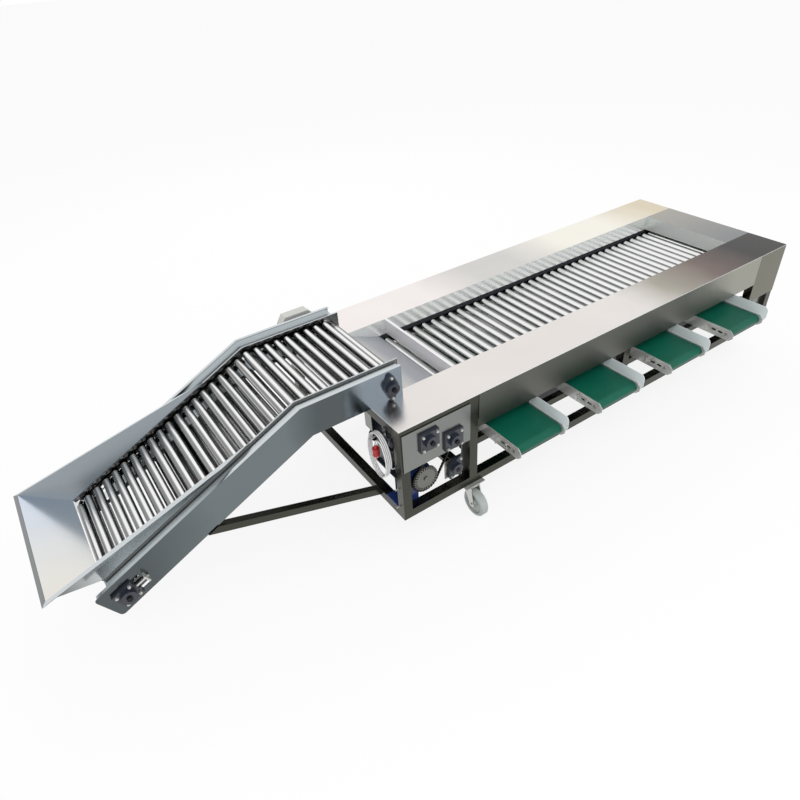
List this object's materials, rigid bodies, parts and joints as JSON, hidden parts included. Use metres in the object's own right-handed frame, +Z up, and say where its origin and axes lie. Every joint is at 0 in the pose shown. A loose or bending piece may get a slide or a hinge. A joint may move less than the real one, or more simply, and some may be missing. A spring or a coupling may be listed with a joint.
{
  "type": "fruit grading machine",
  "caption": "Stainless roller fruit grading machine with an inclined feed elevator and hopper, side discharge belts and swivel casters",
  "frame": {"origin": "middle of the overall box, on the floor under the casters", "axes": "+X runs along the machine from the feed hopper to the discharge end, +Y to the far side away from the discharge belts, +Z up"},
  "size_m": [3.654, 1.136, 0.772],
  "materials": {
    "tube_steel": "brushed stainless tube and skirt sheet, darkened by what it reflects",
    "mirror_sheet": "bright rolled stainless sheet",
    "plain_sheet": "plain stainless plate",
    "roller_chrome": "polished roller tube",
    "chain_steel": "oiled steel",
    "bright_zinc": "zinc plated",
    "navy_paint": "satin navy paint",
    "blue_paint": "satin blue paint",
    "belt_rubber": "smooth green belt",
    "rail_plastic": "slide strip on a steel web",
    "cable_sheath": "smooth cable sheath",
    "plug_red": "moulded plug",
    "wheel_nylon": "cast nylon wheel"
  },
  "bodies": {
    "frame": {"posts": "tube_steel", "long_rails": "tube_steel", "cross_rails": "tube_steel", "near_cover": "mirror_sheet", "far_cover": "mirror_sheet", "end_cover": "mirror_sheet", "feed_plate": "mirror_sheet", "leveller_plate": "mirror_sheet", "side_skirts": "tube_steel", "end_panels": "tube_steel", "drive_plates": "plain_sheet", "chain_rails": "rail_plastic", "bearing_units": "navy_paint", "bed_motor": "blue_paint", "bed_gearbox": "blue_paint", "elevator_motor": "navy_paint", "belt_motor": "navy_paint", "elevator_sides": "plain_sheet", "elevator_guards": "mirror_sheet", "elevator_ties": "tube_steel", "hopper": "mirror_sheet", "struts": "tube_steel", "drive_guard": "plain_sheet", "belt_side_plates": "plain_sheet", "belt_guides": "mirror_sheet", "conveyor_belts": "belt_rubber", "slider_beds": "plain_sheet", "caster_plates": "plain_sheet", "fasteners": "bright_zinc", "cable_coil": "cable_sheath", "cable_lead": "cable_sheath", "cable_plug": "plug_red", "drive_chains": "chain_steel"},
    "bed_top_run": {"bed_top_run": "roller_chrome"},
    "bed_rear_run": {"bed_rear_run": "roller_chrome"},
    "bed_return_run": {"bed_return_run": "roller_chrome"},
    "bed_front_run": {"bed_front_run": "roller_chrome"},
    "bed_head_shaft": {"bed_head_shaft": "roller_chrome"},
    "bed_tail_shaft": {"bed_tail_shaft": "roller_chrome"},
    "bed_rear_shaft": {"bed_rear_shaft": "roller_chrome"},
    "bed_drive_shaft": {"bed_drive_shaft": "roller_chrome"},
    "elevator_flat_run": {"elevator_flat_run": "roller_chrome"},
    "elevator_incline_run": {"elevator_incline_run": "roller_chrome"},
    "elevator_flat_return": {"elevator_flat_return": "roller_chrome"},
    "elevator_incline_return": {"elevator_incline_return": "roller_chrome"},
    "elevator_head_shaft": {"elevator_head_shaft": "roller_chrome"},
    "elevator_tail_shaft": {"elevator_tail_shaft": "roller_chrome"},
    "countershaft": {"countershaft": "chain_steel"},
    "gearbox_sprocket": {"gearbox_sprocket": "chain_steel"},
    "elevator_sprocket": {"elevator_sprocket": "chain_steel"},
    "belt_line_shaft": {"belt_line_shaft": "chain_steel"},
    "nose_rollers": {"nose_rollers": "roller_chrome"},
    "caster_fork_1": {"caster_fork_1": "plain_sheet"},
    "caster_fork_2": {"caster_fork_2": "plain_sheet"},
    "caster_fork_3": {"caster_fork_3": "plain_sheet"},
    "caster_fork_4": {"caster_fork_4": "plain_sheet"},
    "caster_wheel_1": {"caster_wheel_1": "wheel_nylon"},
    "caster_wheel_2": {"caster_wheel_2": "wheel_nylon"},
    "caster_wheel_3": {"caster_wheel_3": "wheel_nylon"},
    "caster_wheel_4": {"caster_wheel_4": "wheel_nylon"}
  },
  "joints": [
    {"name": "bed_top_run_travel", "type": "slide", "parent": "frame", "child": "bed_top_run", "axis": [1, 0, 0], "range_m": [0, 0.053]},
    {"name": "bed_rear_run_travel", "type": "slide", "parent": "frame", "child": "bed_rear_run", "axis": [0.122, 0, -0.9925], "range_m": [0, 0.0535]},
    {"name": "bed_return_run_travel", "type": "slide", "parent": "frame", "child": "bed_return_run", "axis": [-1, 0, 0], "range_m": [0, 0.0535]},
    {"name": "bed_front_run_travel", "type": "slide", "parent": "frame", "child": "bed_front_run", "axis": [-0.1583, 0, 0.9874], "range_m": [0, 0.0535]},
    {"name": "bed_head_shaft_turn", "type": "hinge", "parent": "frame", "child": "bed_head_shaft", "pos_m": [-0.362, 0.072, 0.468], "axis": [0, 1, 0], "range_deg": [0, 73]},
    {"name": "bed_tail_shaft_turn", "type": "hinge", "parent": "frame", "child": "bed_tail_shaft", "pos_m": [1.705, 0.072, 0.468], "axis": [0, 1, 0], "range_deg": [0, 73]},
    {"name": "bed_rear_shaft_turn", "type": "hinge", "parent": "frame", "child": "bed_rear_shaft", "pos_m": [1.728, 0.072, 0.2809], "axis": [0, 1, 0], "range_deg": [0, 73]},
    {"name": "bed_drive_shaft_turn", "type": "hinge", "parent": "frame", "child": "bed_drive_shaft", "pos_m": [-0.332, 0.072, 0.2809], "axis": [0, 1, 0], "range_deg": [0, 73]},
    {"name": "gearbox_sprocket_turn", "type": "hinge", "parent": "frame", "child": "gearbox_sprocket", "pos_m": [-0.483, -0.368, 0.311], "axis": [0, 1, 0], "range_deg": [0, 36.6]},
    {"name": "elevator_incline_run_travel", "type": "slide", "parent": "frame", "child": "elevator_incline_run", "axis": [0.9011, 0, 0.4337], "range_m": [0, 0.045]},
    {"name": "elevator_flat_run_travel", "type": "slide", "parent": "frame", "child": "elevator_flat_run", "axis": [1, 0, 0], "range_m": [0, 0.0455]},
    {"name": "elevator_flat_return_travel", "type": "slide", "parent": "frame", "child": "elevator_flat_return", "axis": [-1, 0, 0], "range_m": [0, 0.0455]},
    {"name": "elevator_incline_return_travel", "type": "slide", "parent": "frame", "child": "elevator_incline_return", "axis": [-0.9011, 0, -0.4337], "range_m": [0, 0.0455]},
    {"name": "elevator_head_shaft_turn", "type": "hinge", "parent": "frame", "child": "elevator_head_shaft", "pos_m": [-0.513, 0.072, 0.679], "axis": [0, 1, 0], "range_deg": [0, 61]},
    {"name": "elevator_tail_shaft_turn", "type": "hinge", "parent": "frame", "child": "elevator_tail_shaft", "pos_m": [-1.6019, 0.072, 0.32349], "axis": [0, 1, 0], "range_deg": [0, 61]},
    {"name": "countershaft_turn", "type": "hinge", "parent": "frame", "child": "countershaft", "pos_m": [-0.476, 0.072, 0.521], "axis": [0, 1, 0], "range_deg": [0, 61]},
    {"name": "elevator_sprocket_turn", "type": "hinge", "parent": "frame", "child": "elevator_sprocket", "pos_m": [-0.541, -0.116, 0.407], "axis": [0, 1, 0], "range_deg": [0, 61]},
    {"name": "belt_line_shaft_turn", "type": "hinge", "parent": "frame", "child": "belt_line_shaft", "pos_m": [0.646, 0.372, 0.3777], "axis": [1, 0, 0], "continuous": true},
    {"name": "nose_rollers_turn", "type": "hinge", "parent": "frame", "child": "nose_rollers", "pos_m": [0.646, -0.5187, 0.3777], "axis": [1, 0, 0], "continuous": true},
    {"name": "caster_1_swivel", "type": "hinge", "parent": "frame", "child": "caster_fork_1", "pos_m": [-0.253, -0.366, 0.157], "axis": [0, 0, 1], "continuous": true},
    {"name": "caster_1_roll", "type": "hinge", "parent": "caster_fork_1", "child": "caster_wheel_1", "pos_m": [-0.253, -0.406, 0.0625], "axis": [1, 0, 0], "continuous": true},
    {"name": "caster_2_swivel", "type": "hinge", "parent": "frame", "child": "caster_fork_2", "pos_m": [1.775, -0.158, 0.157], "axis": [0, 0, 1], "continuous": true},
    {"name": "caster_2_roll", "type": "hinge", "parent": "caster_fork_2", "child": "caster_wheel_2", "pos_m": [1.775, -0.198, 0.0625], "axis": [1, 0, 0], "continuous": true},
    {"name": "caster_3_swivel", "type": "hinge", "parent": "frame", "child": "caster_fork_3", "pos_m": [-0.253, 0.51, 0.157], "axis": [0, 0, 1], "continuous": true},
    {"name": "caster_3_roll", "type": "hinge", "parent": "caster_fork_3", "child": "caster_wheel_3", "pos_m": [-0.253, 0.47, 0.0625], "axis": [1, 0, 0], "continuous": true},
    {"name": "caster_4_swivel", "type": "hinge", "parent": "frame", "child": "caster_fork_4", "pos_m": [1.775, 0.302, 0.157], "axis": [0, 0, 1], "continuous": true},
    {"name": "caster_4_roll", "type": "hinge", "parent": "caster_fork_4", "child": "caster_wheel_4", "pos_m": [1.775, 0.262, 0.0625], "axis": [1, 0, 0], "continuous": true}
  ],
  "couplings": [
    {"joint": "bed_rear_run_travel", "follows": "bed_top_run_travel", "ratio": 1},
    {"joint": "bed_return_run_travel", "follows": "bed_top_run_travel", "ratio": 1},
    {"joint": "bed_front_run_travel", "follows": "bed_top_run_travel", "ratio": 1},
    {"joint": "bed_head_shaft_turn", "follows": "bed_top_run_travel", "rad_per_m": 23.71},
    {"joint": "bed_tail_shaft_turn", "follows": "bed_top_run_travel", "rad_per_m": 23.71},
    {"joint": "bed_rear_shaft_turn", "follows": "bed_top_run_travel", "rad_per_m": 23.71},
    {"joint": "bed_drive_shaft_turn", "follows": "bed_top_run_travel", "rad_per_m": 23.71},
    {"joint": "gearbox_sprocket_turn", "follows": "bed_top_run_travel", "rad_per_m": 11.855},
    {"joint": "elevator_flat_run_travel", "follows": "elevator_incline_run_travel", "ratio": 1},
    {"joint": "elevator_flat_return_travel", "follows": "elevator_incline_run_travel", "ratio": 1},
    {"joint": "elevator_incline_return_travel", "follows": "elevator_incline_run_travel", "ratio": 1},
    {"joint": "elevator_head_shaft_turn", "follows": "elevator_incline_run_travel", "rad_per_m": 23.271},
    {"joint": "elevator_tail_shaft_turn", "follows": "elevator_incline_run_travel", "rad_per_m": 23.271},
    {"joint": "countershaft_turn", "follows": "elevator_incline_run_travel", "rad_per_m": 23.271},
    {"joint": "elevator_sprocket_turn", "follows": "elevator_incline_run_travel", "rad_per_m": 23.271},
    {"joint": "nose_rollers_turn", "follows": "belt_line_shaft_turn", "ratio": 1}
  ]
}
